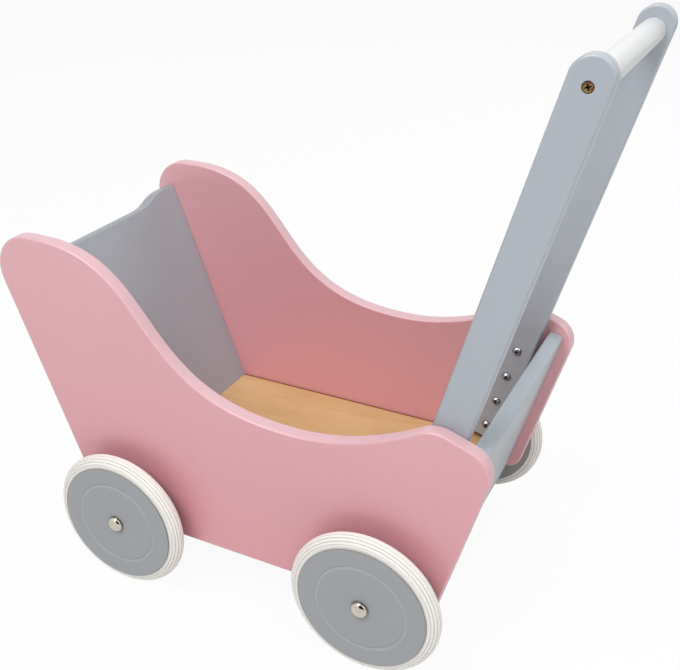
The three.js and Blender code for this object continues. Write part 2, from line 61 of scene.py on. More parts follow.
# %% Camera
IMAGE_WIDTH, IMAGE_HEIGHT = 680, 670
FOCAL_PIXELS = 962.05
AXIS_PIXEL = (307.86, 336.68)
AZIMUTH, ELEVATION, ROLL = (math.radians(a) for a in (27.81, 27.05, 0.66))
AIM = np.array([-10.95, 0.0, 192.72]) * MM
DISTANCE = 796.52 * MM
SENSOR_WIDTH = 36.0
CLIP_START = 0.01


def unit(vector):
    """The vector divided by its own length."""
    return np.asarray(vector, float) / np.linalg.norm(vector)


camera = bpy.data.objects.new("camera", bpy.data.cameras.new("camera"))
bpy.context.scene.collection.objects.link(camera)
bpy.context.scene.camera = camera
back = np.array([
    math.sin(AZIMUTH) * math.cos(ELEVATION),
    -math.cos(AZIMUTH) * math.cos(ELEVATION),
    math.sin(ELEVATION),
])
right = unit(np.cross([0, 0, 1], back))
turn = np.eye(4)
turn[:3, :3] = np.stack([right, np.cross(back, right), back], axis=1)
turn[:3, 3] = AIM + DISTANCE * back
camera.matrix_world = Matrix(turn) @ Matrix.Rotation(-ROLL, 4, "Z")
camera.data.sensor_width = SENSOR_WIDTH
camera.data.lens = FOCAL_PIXELS / IMAGE_WIDTH * SENSOR_WIDTH
camera.data.shift_x = (IMAGE_WIDTH / 2 - AXIS_PIXEL[0]) / IMAGE_WIDTH
camera.data.shift_y = (AXIS_PIXEL[1] - IMAGE_HEIGHT / 2) / IMAGE_WIDTH
camera.data.clip_start = CLIP_START
print("camera at", np.round(turn[:3, 3], 4), "lens", round(camera.data.lens, 2))

# %% [markdown]
# ## Floor and background
# A product shot on white has an even white surrounding and no dark side. A bright world would give that,
# but would wash out the colours. So the world lights only a little, and plain white is shown to the camera
# and to mirrored rays. The floor is shown almost white in the same way. A small share of its real shading
# stays, so the wheels stand on a faint shadow.

# %% Shader node helpers
scene = bpy.context.scene
scene.view_settings.view_transform = "Standard"
PLAIN_WHITE = (1, 1, 1, 1)


def fresh_tree(owner):
    """The emptied node tree of a world or a material."""
    owner.use_nodes = True
    owner.node_tree.nodes.clear()
    return owner.node_tree


def add_node(tree, kind, inputs=None, **settings):
    """A shader node of that kind, with its settings and the values of its input sockets."""
    node = tree.nodes.new(kind)
    for name, value in settings.items():
        setattr(node, name, value)
    for name, value in (inputs or {}).items():
        node.inputs[name].default_value = value
    return node


def feed(tree, slots, values):
    """Links each value that is a socket to its slot, and sets the other slots to their values."""
    for slot, value in zip(slots, values):
        if isinstance(value, bpy.types.NodeSocket):
            tree.links.new(value, slot)
        else:
            slot.default_value = value


def combined(tree, operation, first, second):
    """A math node over two sockets, or a socket and a number."""
    node = add_node(tree, "ShaderNodeMath", operation=operation)
    feed(tree, node.inputs, (first, second))
    return node.outputs[0]


def seen_ray(tree, mirrored=1.0):
    """Socket that is 1 on camera and refracted rays, and has the given share on mirrored rays."""
    path = add_node(tree, "ShaderNodeLightPath").outputs
    mirror = combined(tree, "MULTIPLY", path["Is Glossy Ray"], mirrored)
    seen = combined(tree, "MAXIMUM", path["Is Camera Ray"], mirror)
    return combined(tree, "MAXIMUM", seen, path["Is Transmission Ray"])


def show_mix(tree, output, share, lit, seen):
    """Sends two shaders to the output node: the lit one, and over it that share of the seen one."""
    mix = add_node(tree, "ShaderNodeMixShader")
    feed(tree, mix.inputs, (share, lit.outputs[0], seen.outputs[0]))
    tree.links.new(mix.outputs[0], add_node(tree, output).inputs[0])


print("colours are shown as written:", scene.view_settings.view_transform)

# %% White surround
WORLD_LEVEL = 0.12
scene.world = bpy.data.worlds.new("white_surround")
tree = fresh_tree(scene.world)
light = add_node(tree, "ShaderNodeBackground", {"Color": PLAIN_WHITE, "Strength": WORLD_LEVEL})
white = add_node(tree, "ShaderNodeBackground", {"Color": PLAIN_WHITE, "Strength": 1.0})
show_mix(tree, "ShaderNodeOutputWorld", seen_ray(tree), light, white)
print("world lights at", WORLD_LEVEL, "and shows 1")

# %% Floor
FLOOR_SIZE = 8.0
FLOOR_PALE = (0.88, 0.88, 0.87, 1)
FLOOR_WHITE = 0.94  # share of the floor that the camera sees as plain white
FLOOR_MIRRORED = 0.3  # part of that share in mirrored rays, so that paint mirrors the floor's shadow


def stage_square(name, size):
    """A square of that size round the origin, and the node tree of its new material."""
    half = size / 2
    mesh = bpy.data.meshes.new(name)
    corners = [(-half, -half, 0), (half, -half, 0), (half, half, 0), (-half, half, 0)]
    mesh.from_pydata(corners, [], [(0, 1, 2, 3)])
    material = bpy.data.materials.new(name)
    mesh.materials.append(material)
    square = bpy.data.objects.new(name, mesh)
    scene.collection.objects.link(square)
    return square, fresh_tree(material)


floor, tree = stage_square("studio_floor", FLOOR_SIZE)
pale = add_node(tree, "ShaderNodeBsdfDiffuse", {"Color": FLOOR_PALE})
white = add_node(tree, "ShaderNodeEmission", {"Color": PLAIN_WHITE, "Strength": 1.0})
share = combined(tree, "MULTIPLY", seen_ray(tree, FLOOR_MIRRORED), FLOOR_WHITE)
show_mix(tree, "ShaderNodeOutputMaterial", share, pale, white)
print("floor:", FLOOR_SIZE, "m wide")

# %% [markdown]
# ## What the axle caps mirror
# The polished caps are small mirrors. In a room that is white all over they would look flat, while a real
# cap shows the camera as a dark spot. A dark square makes that spot. Only mirrored rays see it, so it
# neither shades the pram nor shows in the picture.

# %% Camera shade
SHADE_SIZE = 0.9
SHADE_BLACK = (0.01, 0.01, 0.01, 1)
shade, tree = stage_square("camera_shade", SHADE_SIZE)
shade.data.transform(camera.matrix_world)
black = add_node(tree, "ShaderNodeBsdfDiffuse", {"Color": SHADE_BLACK})
tree.links.new(black.outputs[0], add_node(tree, "ShaderNodeOutputMaterial").inputs[0])
shade.visible_camera = shade.visible_diffuse = False
shade.visible_shadow = shade.visible_transmission = False
print("shade at the camera:", SHADE_SIZE, "m wide")

# %% [markdown]
# ## Lamps
# Large square lamps give soft shadows. The key lamp stands high on the left, in front of the near side.
# Weaker lamps fill in from the front, the right, above and behind. The lamp behind would show as a hard
# glare in the paint, so mirrored rays don't see it.

# %% Lamps
LAMP_AIM = (0, 0, 0.2)
LAMP_LEVEL = (0, 1, 0.01)  # each lamp's first edge is square to this line
LAMPS = (  # name, place, size in metres, watts, whether mirrored rays see it
    ("key_lamp", (-0.5, -1.4, 2.2), 1.2, 34.0, True),
    ("front_lamp", (0.9, -1.6, 1.8), 1.2, 12.0, True),
    ("side_lamp", (2.0, -0.2, 0.8), 1.2, 2.0, True),
    ("high_side_lamp", (1.5, -0.2, 1.9), 1.2, 12.5, True),
    ("top_lamp", (0.0, 0.2, 2.3), 1.4, 6.0, True),
    ("back_lamp", (0.1, 1.9, 1.5), 1.6, 13.0, False),
)


def soft_lamp(name, place, size, watts, mirrored):
    """A square area lamp that faces the aim."""
    lamp = bpy.data.lights.new(name, "AREA")
    lamp.size = size
    lamp.energy = watts
    holder = bpy.data.objects.new(name, lamp)
    holder.visible_glossy = mirrored
    scene.collection.objects.link(holder)
    away = unit(np.subtract(place, LAMP_AIM))
    edge = unit(np.cross(LAMP_LEVEL, away))
    matrix = np.eye(4)
    matrix[:3, :3] = np.stack([edge, np.cross(away, edge), away], axis=1)
    matrix[:3, 3] = place
    holder.matrix_world = Matrix(matrix)


for lamp_facts in LAMPS:
    soft_lamp(*lamp_facts)
print("lamps:", [name for name, *_ in LAMPS])

# %% [markdown]
# ## Paint
# Every painted board has the same finish: a rolled film of paint whose tone drifts slowly over the board,
# and whose surface is finely stippled. The colour is also deeper low down and paler up to a set height: a
# painted light, standing in for light that falls from above. A picture of paint could show that, but noise
# textures hold up at any distance and need no file. The effect is a node group, so pink, grey and white
# differ only in the values set on it. A group gives a colour, a roughness and a height.

# %% Group helpers
NOISE_LOW, NOISE_HIGH = 0.3, 0.7  # nearly all of a noise texture lies between these
MIX_SLOTS, MIX_RESULT = (0, 6, 7), 2  # where a mix node has its factor, its two colours and their mix


def start_group(name, colours, values):
    """A new node group and its inputs: Vector, and the named colours and values that a material sets."""
    group = bpy.data.node_groups.new(name, "ShaderNodeTree")
    kinds = {"Vector": "Vector", **dict.fromkeys(colours, "Color"), **dict.fromkeys(values, "Float")}
    for socket, kind in kinds.items():
        group.interface.new_socket(socket, in_out="INPUT", socket_type=f"NodeSocket{kind}")
    return group, add_node(group, "NodeGroupInput").outputs


def end_group(group, colour, roughness, height):
    """The group, with its three outputs made and linked."""
    kinds = {"Color": "Color", "Roughness": "Float", "Height": "Float"}
    for socket, kind in kinds.items():
        group.interface.new_socket(socket, in_out="OUTPUT", socket_type=f"NodeSocket{kind}")
    out = add_node(group, "NodeGroupOutput")
    for socket, made in zip(kinds, (colour, roughness, height)):
        group.links.new(made, out.inputs[socket])
    return group


def scaled_noise(tree, vector, cells, detail, rough=0.5):
    """Noise texture on the vector socket, with so many cells to the metre."""
    values = {"Scale": cells, "Detail": detail, "Roughness": rough}
    noise = add_node(tree, "ShaderNodeTexNoise", values)
    tree.links.new(vector, noise.inputs["Vector"])
    return noise.outputs[0]


def ramp(tree, value, start, stop, low=0.0, high=1.0):
    """The value, which runs from start to stop, mapped to run from low to high and held at both ends."""
    node = add_node(tree, "ShaderNodeMapRange")
    feed(tree, node.inputs, (value, start, stop, low, high))
    return node.outputs[0]


def ranged(tree, noise, low, high):
    """A noise texture mapped to run from low to high."""
    return ramp(tree, noise, NOISE_LOW, NOISE_HIGH, low, high)


def axis_of(tree, vector, axis):
    """One axis of a vector socket: X, Y or Z."""
    split = add_node(tree, "ShaderNodeSeparateXYZ")
    tree.links.new(vector, split.inputs[0])
    return split.outputs[axis]


def tinted(tree, factor, first, second, blend="MIX"):
    """A colour mix of two sockets or colours."""
    mix = add_node(tree, "ShaderNodeMix", data_type="RGBA", blend_type=blend)
    feed(tree, [mix.inputs[i] for i in MIX_SLOTS], (factor, first, second))
    return mix.outputs[MIX_RESULT]


print("noise is taken to run from", NOISE_LOW, "to", NOISE_HIGH)

# %% Paint film group
DRIFT_CELLS, MOTTLE_CELLS, STIPPLE_CELLS = 8.0, 120.0, 950.0  # to the metre
DRIFT_SHARE, MOTTLE_SHARE = 0.7, 0.3
DRIFT_TINT = (0.965, 0.955, 0.955, 1)
# painted light: from this height up to Top the paint turns paler, as if lit from above
HEIGHT_LIGHT_FROM = 0.06
PAINT_GLOSS_SPREAD = 0.04
MOTTLE_HEIGHT = 1.5


def paint_film():
    """Deep turns to Paint from low down to the height Top, a painted light from above, under a slow drift,
    a mottle and a stipple.
    """
    group, given = start_group("paint_film", ("Paint", "Deep"), ("Gloss", "Top"))
    drift = scaled_noise(group, given["Vector"], DRIFT_CELLS, detail=2.0)
    mottle = scaled_noise(group, given["Vector"], MOTTLE_CELLS, detail=3.0)
    stipple = scaled_noise(group, given["Vector"], STIPPLE_CELLS, detail=2.0, rough=0.6)
    # painted light from above: Deep low down turns to Paint at the height Top
    height_light = ramp(group, axis_of(group, given["Vector"], "Z"), HEIGHT_LIGHT_FROM, given["Top"])
    height_lit = tinted(group, height_light, given["Deep"], given["Paint"])
    slow, fine = ranged(group, drift, 0.0, DRIFT_SHARE), ranged(group, mottle, 0.0, MOTTLE_SHARE)
    colour = tinted(group, combined(group, "ADD", slow, fine), height_lit, DRIFT_TINT, "MULTIPLY")
    spread = ranged(group, mottle, -PAINT_GLOSS_SPREAD, PAINT_GLOSS_SPREAD)
    height = combined(group, "ADD", stipple, combined(group, "MULTIPLY", mottle, MOTTLE_HEIGHT))
    return end_group(group, colour, combined(group, "ADD", given["Gloss"], spread), height)


PAINT_FILM = paint_film()
print("group:", PAINT_FILM.name)

# %% [markdown]
# ## Wood
# The floor is birch plywood, a peeled veneer with soft flames, streaks, pores and a few flecks. The rings
# of a Wave texture would suit a sawn board, but a peeled sheet has none, so noise is drawn out along X.

# %% Wood figure group
FIGURE_PLACE = (0.31, 0.17, 0.0)  # where in the endless figure the sheet is cut
FLAME_STRETCH, STREAK_STRETCH = 0.4, 0.09  # scale along the grain
BAND_CELLS, STREAK_CELLS, SPOT_CELLS, PORE_CELLS = 30.0, 260.0, 320.0, 1500.0  # to the metre
BAND_SHARE, STREAK_SHARE = 0.6, 0.4
FLECK_FROM, FLECK_FULL = 0.74, 0.8
FLECK_TINT = (0.7, 0.56, 0.42, 1)
PORE_GLOSS = (-0.05, 0.07)


def along_grain(group, vector, stretch):
    """The vector at the sheet's place in the figure, scaled along X."""
    values = {"Location": FIGURE_PLACE, "Scale": (stretch, 1.0, 1.0)}
    mapping = add_node(group, "ShaderNodeMapping", values)
    group.links.new(vector, mapping.inputs["Vector"])
    return mapping.outputs[0]


def wood_figure():
    """Early turns to Late in broad flames and fine streaks, with pores in the gloss and dark flecks."""
    group, given = start_group("wood_figure", ("Early", "Late"), ("Gloss",))
    flames = along_grain(group, given["Vector"], FLAME_STRETCH)
    lines = along_grain(group, given["Vector"], STREAK_STRETCH)
    bands = scaled_noise(group, flames, BAND_CELLS, detail=4.0, rough=0.6)
    spots = scaled_noise(group, flames, SPOT_CELLS, detail=1.0)
    streaks = scaled_noise(group, lines, STREAK_CELLS, detail=4.0, rough=0.62)
    pores = scaled_noise(group, lines, PORE_CELLS, detail=2.0)
    fine, broad = ranged(group, streaks, 0.0, STREAK_SHARE), ranged(group, bands, 0.0, BAND_SHARE)
    grain = tinted(group, combined(group, "ADD", fine, broad), given["Early"], given["Late"])
    colour = tinted(group, ramp(group, spots, FLECK_FROM, FLECK_FULL), grain, FLECK_TINT, "MULTIPLY")
    rough = combined(group, "ADD", given["Gloss"], ranged(group, pores, *PORE_GLOSS))
    return end_group(group, colour, rough, combined(group, "ADD", streaks, pores))


WOOD_FIGURE = wood_figure()
print("group:", WOOD_FIGURE.name)

# %% [markdown]
# ## Metal
# Caps, washers and screws have been handled, so their polish is no longer even. One value all over would
# look like plastic, so noise moves the colour and the roughness a little.

# %% Handled metal group
CLOUD_CELLS, HAIR_CELLS = 420.0, 4200.0  # to the metre
HAIR_GLOSS = (-0.03, 0.05)


def handled_metal():
    """Metal that has been handled: faint cloudy tarnish and hair-fine rubbing in the polish."""
    group, given = start_group("handled_metal", ("Bright", "Dull"), ("Gloss",))
    cloud = scaled_noise(group, given["Vector"], CLOUD_CELLS, detail=3.0)
    hair = scaled_noise(group, given["Vector"], HAIR_CELLS, detail=2.0)
    colour = tinted(group, ranged(group, cloud, 0.0, 1.0), given["Bright"], given["Dull"])
    rough = combined(group, "ADD", given["Gloss"], ranged(group, hair, *HAIR_GLOSS))
    return end_group(group, colour, rough, hair)


HANDLED_METAL = handled_metal()
print("group:", HANDLED_METAL.name)

# %% [markdown]
# ## Materials
# Colours are written as they look on a screen and turned into the linear values that shaders work with.
# Each material is one Principled shader fed by a group. The bump is a small share of a millimetre, enough
# to break up a reflection without showing as a pattern. Marks that follow the shape, such as on a rounded
# edge or in a groove, come from a mask that each piece carries, and a colour shows through it. Most are
# painted light and shade: a paler painted sheen on pink edges, painted shade on grey edges, in tyre
# grooves, in screw recesses and on a cap's flange, a painted shadow line on the floor along the side
# boards, and a painted highlight on a wheel's ring.

# %% Finish of a surface
PAINT_BUMP, METAL_BUMP, WOOD_BUMP = 0.03 * MM, 0.004 * MM, 0.05 * MM


def linear(red, green, blue):
    """A colour of the screen, 0 to 255, as the linear value that a shader works with."""
    share = np.array([red, green, blue]) / 255
    value = np.where(share <= 0.04045, share / 12.92, ((share + 0.055) / 1.055) ** 2.4)
    return (*map(float, value), 1.0)


def finish_of(name, group, inputs, depth, painted_marks=(), **sockets):
    """A material: the group on Object coordinates feeds colour, roughness and a bump of that depth.

    A painted mark is a function that makes a mask, and the colour that shows where the mask is 1. Most are
    painted light or shade.
    """
    material = bpy.data.materials.new(name)
    tree = fresh_tree(material)
    place = add_node(tree, "ShaderNodeTexCoord").outputs["Object"]
    film = add_node(tree, "ShaderNodeGroup", node_tree=group)
    bump = add_node(tree, "ShaderNodeBump", {"Strength": 1.0, "Distance": depth})
    shader = add_node(tree, "ShaderNodeBsdfPrincipled")
    out = add_node(tree, "ShaderNodeOutputMaterial")
    for socket, value in inputs.items():
        film.inputs[socket].default_value = linear(*value) if isinstance(value, tuple) else value
    for socket, value in sockets.items():
        shader.inputs[socket.replace("_", " ")].default_value = value
    colour = film.outputs["Color"]
    for make_mask, mark_colour in painted_marks:
        colour = tinted(tree, make_mask(tree, place), colour, linear(*mark_colour))
    tree.links.new(place, film.inputs["Vector"])
    tree.links.new(colour, shader.inputs["Base Color"])
    tree.links.new(film.outputs["Roughness"], shader.inputs["Roughness"])
    tree.links.new(film.outputs["Height"], bump.inputs["Height"])
    tree.links.new(bump.outputs[0], shader.inputs["Normal"])
    tree.links.new(shader.outputs[0], out.inputs[0])
    return material


def painted(name, paint, deep, gloss=0.36, level=1.0, top=0.45, painted_marks=()):
    """A film of satin paint or a moulded skin, whose sheen is set by its specular level."""
    # paint is the colour at the height top and deep the colour low down, a painted light from above
    inputs = {"Paint": paint, "Deep": deep, "Gloss": gloss, "Top": top}
    return finish_of(name, PAINT_FILM, inputs, PAINT_BUMP, painted_marks, Specular_IOR_Level=level)


def metal(name, bright, dull, gloss, painted_marks=()):
    """Bare or plated metal."""
    inputs = {"Bright": bright, "Dull": dull, "Gloss": gloss}
    return finish_of(name, HANDLED_METAL, inputs, METAL_BUMP, painted_marks, Metallic=1.0)


def wooden(name, early, late, gloss, painted_marks=()):
    """Clear-coated or raw wood."""
    inputs = {"Early": early, "Late": late, "Gloss": gloss}
    return finish_of(name, WOOD_FIGURE, inputs, WOOD_BUMP, painted_marks)


print("bump depths in mm:", [depth / MM for depth in (PAINT_BUMP, METAL_BUMP, WOOD_BUMP)])

# %% Masks
# a painted shadow line on the floor where it meets the side boards
WALL_LINE, WALL_LINE_SOFT = 1.9 * MM, 0.3  # width of the line, and the share of it that fades each way


def own_mask(tree, vector):
    """The piece's own attribute, such as 1 at the bottom of a groove or on a rounded edge."""
    return add_node(tree, "ShaderNodeAttribute", attribute_name="painted_mark").outputs["Fac"]


def highlight_mask(tree, vector):
    """1 where the piece's own attribute is -1, such as in the ring of a wheel, where it marks a painted
    highlight.
    """
    return combined(tree, "MULTIPLY", own_mask(tree, vector), -1.0)


def wall_shadow_mask(tree, vector):
    """1 along the floor's long edges, over the width of the painted shadow line beside the side boards."""
    away = combined(tree, "ABSOLUTE", axis_of(tree, vector, "Y"), 0.0)
    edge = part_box("floor_panel")[1].y
    start, stop = (edge - (1 + soft) * WALL_LINE for soft in (WALL_LINE_SOFT, -WALL_LINE_SOFT))
    return ramp(tree, away, start, stop)


print("line along the walls:", WALL_LINE / MM, "mm")

# %% Materials
# the first colour is each paint up high and the second the same paint low down, a painted light from above
PINK = painted("pink_paint", (229, 175, 182), (225, 158, 165), top=0.29,
               painted_marks=[(own_mask, (223, 180, 187))])
# pink's mark colour is a paler painted sheen on its rounded edges, grey's a darker painted shade
GREY = painted("grey_paint", (179, 187, 196), (164, 173, 182), painted_marks=[(own_mask, (136, 142, 148))])
# the lighter ring colour is a painted highlight, the darker one a band along the disc's rim
WHEEL_GREY = painted("wheel_grey_paint", (163, 167, 171), (162, 166, 170), gloss=0.5, level=0.5,
                     painted_marks=[(own_mask, (136, 131, 122)), (highlight_mask, (170, 175, 179))])
WHITE = painted("white_paint", (223, 225, 226), (219, 221, 222))
# the darker rubber colour is painted shade in the tyre grooves
RUBBER = painted("cream_rubber", (249, 247, 243), (248, 246, 242), gloss=0.6, level=0.5,
                 painted_marks=[(own_mask, (216, 212, 205))])
NYLON = painted("natural_nylon", (228, 226, 220), (222, 220, 212), gloss=0.55)
# the dark plywood colour is a painted shadow line along the side boards
PLY = wooden("birch_ply", (219, 187, 138), (201, 161, 108), 0.45, [(wall_shadow_mask, (132, 66, 42))])
BEECH = wooden("raw_beech", (222, 192, 150), (202, 168, 124), 0.7)
# the steel's mark colour is painted shade in the screw recesses and on the rims of the heads
STEEL = metal("plated_steel", (204, 204, 207), (164, 165, 169), 0.18, [(own_mask, (46, 44, 46))])
# the cap's warm tint is a painted reflection of a warm floor, and its mark colour a painted shadow line on
# the flange
CHROME = metal("polished_cap", (214, 208, 198), (198, 190, 178), 0.1, [(own_mask, (124, 118, 108))])
# the brass's mark colour is painted shade in the screw's recess and on its rim
BRASS = metal("dull_brass", (216, 180, 128), (138, 86, 64), 0.28, [(own_mask, (50, 30, 22))])
print("materials:", [material.name for material in bpy.data.materials])

# %% [markdown]
# ## From arrays to pieces
# Almost every piece is a stack of closed rows of points: an outline pulled in row by row round a board's
# edge, or a circle that follows a turned profile. Modelling tools could make each by hand, but one function
# that joins such rows with quads, and closes both ends with a flat face, makes them all. Edges sharper than
# a set angle stay crisp, and everything else is shaded smooth.

# %% Skins
CREASE = math.radians(38)


def ring_quads(rows, around, closed_rows):
    """Corner numbers of the quads between neighbouring rows, each row being a closed loop of points."""
    here = np.arange(rows if closed_rows else rows - 1)[:, None] * around
    above = (here + around) % (rows * around)
    j = np.arange(around)
    k = (j + 1) % around
    return np.stack([here + j, here + k, above + k, above + j], axis=-1).reshape(-1, 4)


def make_piece(name, points, faces, material, body, node, painted_mark):
    """A mesh object from points and faces, outward facing, riding on its body in place of its node."""
    mesh = bpy.data.meshes.new(name)
    mesh.from_pydata(points.reshape(-1, 3).tolist(), [], faces)
    shape = bmesh.new()
    shape.from_mesh(mesh)
    bmesh.ops.recalc_face_normals(shape, faces=shape.faces)
    shape.to_mesh(mesh)
    shape.free()
    mesh.polygons.foreach_set("use_smooth", np.ones(len(mesh.polygons), bool))
    mesh.set_sharp_from_angle(angle=CREASE)
    mask = mesh.attributes.new("painted_mark", "FLOAT", "POINT")
    mask.data.foreach_set("value", painted_mark.ravel().astype(np.float32))
    mesh.materials.append(material)
    piece = bpy.data.objects.new(name, mesh)
    scene.collection.objects.link(piece)
    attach(piece, body)
    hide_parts(node)
    return piece


def skin(name, rows, material, body, node, closed_rows=False, painted_mark=0.0):
    """A closed skin over a stack of closed rows: rows[i, j] is point j of row i.

    Painted mark gives each point its value of the attribute that the material's mask reads, mostly painted
    light or shade.
    """
    count, around = rows.shape[:2]
    faces = ring_quads(count, around, closed_rows).tolist()
    if not closed_rows:
        faces.append(list(range(around)))
        faces.append(list(range((count - 1) * around, count * around)))
    painted_mark = np.broadcast_to(painted_mark, (count, around))
    return make_piece(name, rows, faces, material, body, node, painted_mark)


print("edges sharper than", round(math.degrees(CREASE)), "degrees stay crisp")

# %% [markdown]
# ## Outlines
# The side boards are cut to a flowing line: round corners, a long S down from the high front, a low saddle
# and a crest in front of the rear corner. Arcs and Bezier curves describe it with a dozen sizes, which is
# far easier to read and change than a list of points. The curve is then cut again at even steps.

# %% Curves
ARC_STEP = math.radians(4)
CURVE_STEPS = 48
SAME_POINT = 1e-9


def arc(centre, radius, start, stop):
    """centre + radius * (cos a, sin a), while the angle a goes from start to stop."""
    a = np.linspace(start, stop, max(2, math.ceil(abs(stop - start) / ARC_STEP)) + 1)
    return np.asarray(centre) + radius * np.stack([np.cos(a), np.sin(a)], axis=-1)


def bezier(*control):
    """Bezier curve: neighbours among the control points are blended by t until one point is left."""
    t = np.linspace(0, 1, CURVE_STEPS + 1)[:, None]
    rows = [np.asarray(point, float) + 0 * t for point in control]
    while len(rows) > 1:
        rows = [a + (b - a) * t for a, b in zip(rows, rows[1:])]
    return rows[0]


def run_along(line):
    """Length of the line from its first point to each of its points."""
    return np.append(0, np.cumsum(np.linalg.norm(np.diff(line, axis=0), axis=1)))


def even_loop(points, spacing):
    """The closed line through the points, cut again at even steps of its own length."""
    closed = np.vstack([points, points[:1]])
    step = np.linalg.norm(np.diff(closed, axis=0), axis=1)
    closed = closed[np.append(step > SAME_POINT, True)]
    run = run_along(closed)
    at = np.linspace(0, run[-1], round(run[-1] / spacing), endpoint=False)
    return np.stack([np.interp(at, run, closed[:, 0]), np.interp(at, run, closed[:, 1])], axis=-1)


def mitres(outline):
    """Outward steps that move every edge of a counter-clockwise loop by one: (n1 + n2) / (1 + n1 . n2)."""
    edge = np.roll(outline, -1, axis=0) - outline
    edge /= np.linalg.norm(edge, axis=1, keepdims=True)
    after = np.stack([edge[:, 1], -edge[:, 0]], axis=-1)
    before = np.roll(after, 1, axis=0)
    return (after + before) / (1 + np.sum(after * before, axis=1, keepdims=True))


print("arc step", round(math.degrees(ARC_STEP), 1), "degrees")

# %% Places taken from the frame


def node_middle(node):
    """Middle of a node's box."""
    low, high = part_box(node)
    return (np.array(low) + np.array(high)) / 2


def node_depths(node):
    """Distances of a node's inner and outer face from the pram's middle plane."""
    low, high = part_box(node)
    return sorted((abs(low.y), abs(high.y)))


def half_extent(node, axis):
    """Half of a node's size along an axis, in millimetres."""
    low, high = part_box(node)
    return (high[axis] - low[axis]) / 2 / MM


axle_x = {end: node_middle(f"axle_{end}")[0] for end in ENDS}
axle_z = node_middle("axle_front")[2]
bar_axis = node_middle("handle_bar")
SIDE_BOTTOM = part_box("side_panel_left")[0].z
print("wheelbase:", round((axle_x["rear"] - axle_x["front"]) / MM, 1), "mm")

# %% Side outline
FRONT_LEAN, REAR_LEAN = math.radians(20.5), math.radians(15)
FRONT_CORNER, FRONT_RADIUS = np.array([axle_x["front"] - 80 * MM, SIDE_BOTTOM + 211 * MM]), 30 * MM
REAR_CORNER, REAR_RADIUS = np.array([axle_x["rear"] + 59.3 * MM, SIDE_BOTTOM + 132.6 * MM]), 21 * MM
CREST, CREST_RADIUS = np.array([axle_x["rear"] + 40.6 * MM, SIDE_BOTTOM + 137.3 * MM]), 22.9 * MM
CREST_RISE, CREST_FALL = math.radians(30.5), math.radians(19.9)
SADDLE = np.array([axle_x["rear"] - 70 * MM, SIDE_BOTTOM + 127.5 * MM])
FOOT_RADIUS = 12 * MM
SWEEP_FLAT, SWEEP_HIGH_PULL, SWEEP_LOW_PULL = 12 * MM, 110 * MM, 144 * MM
OUTLINE_STEP = 2.5 * MM
front_normal = np.array([-math.cos(FRONT_LEAN), -math.sin(FRONT_LEAN)])
rear_normal = np.array([math.cos(REAR_LEAN), -math.sin(REAR_LEAN)])
front_reach = front_normal @ FRONT_CORNER + FRONT_RADIUS
rear_reach = rear_normal @ REAR_CORNER + REAR_RADIUS


def lean_x(normal, reach, z):
    """x at height z on the line that lies at a distance, reach, along its normal."""
    return (reach - normal[1] * z) / normal[0]


def side_outline():
    """Counter-clockwise from the lower rear corner: rear corner, crest, saddle, long S, front corner."""
    bottom = SIDE_BOTTOM + FOOT_RADIUS
    rear_foot = (lean_x(rear_normal, rear_reach - FOOT_RADIUS, bottom), bottom)
    front_foot = (lean_x(front_normal, front_reach - FOOT_RADIUS, bottom), bottom)
    crest_end = math.pi / 2 + CREST_RISE
    rise = CREST + CREST_RADIUS * np.array([math.cos(crest_end), math.sin(crest_end)])
    knee = (rise[0] - (rise[1] - SADDLE[1]) / math.tan(CREST_RISE), SADDLE[1])
    high = FRONT_CORNER + np.array([SWEEP_FLAT, FRONT_RADIUS])
    return even_loop(np.vstack([
        arc(rear_foot, FOOT_RADIUS, -math.pi / 2, -REAR_LEAN),
        arc(REAR_CORNER, REAR_RADIUS, -REAR_LEAN, math.pi / 2 - CREST_FALL),
        arc(CREST, CREST_RADIUS, math.pi / 2 - CREST_FALL, crest_end),
        bezier(rise, knee, SADDLE),
        bezier(SADDLE, SADDLE - (SWEEP_LOW_PULL, 0), high + (SWEEP_HIGH_PULL, 0), high),
        arc(FRONT_CORNER, FRONT_RADIUS, math.pi / 2, math.pi + FRONT_LEAN),
        arc(front_foot, FOOT_RADIUS, math.pi + FRONT_LEAN, 1.5 * math.pi),
    ]), OUTLINE_STEP)


SIDE_OUTLINE = side_outline()
print("side outline:", len(SIDE_OUTLINE), "points, length", round(np.ptp(SIDE_OUTLINE[:, 0]) / MM, 1), "mm")

# %% [markdown]
# ## Boards with rounded-over edges
# A router runs round the edge of every board. A Bevel modifier could round a plain sheet, but the rows can
# follow the cutter's quarter circle themselves: row after row the outline is pulled in by r(1 - sin q) at
# the depth r(1 - cos q). The rows then also say where the edge colour is painted: a paler painted sheen on
# the pink boards, a darker painted shade on the grey ones. One more row just inside the rounding keeps the
# shading of the flat face flat.

# %% Side boards
EDGE_ROUND = 1.5 * MM
ROUND_STEPS = 6
FLAT_LEAD = 0.6 * MM
side_inner, side_outer = node_depths("side_panel_left")
BOARD = side_outer - side_inner


def edge_rows(thickness, radius):
    """Inset and depth of each row from one face of a board round its edge to the other face."""
    q = np.linspace(0, math.pi / 2, ROUND_STEPS + 1)
    inset = np.append(radius + FLAT_LEAD, radius * (1 - np.sin(q)))
    depth = np.append(0, radius * (1 - np.cos(q)))
    return np.append(inset, inset[::-1]), np.append(depth, thickness - depth[::-1])


def edge_share(inset, radius):
    """0 on the flat faces, rising over the rounding to 1 on the edge."""
    return np.clip(1 - inset / radius, 0, 1)


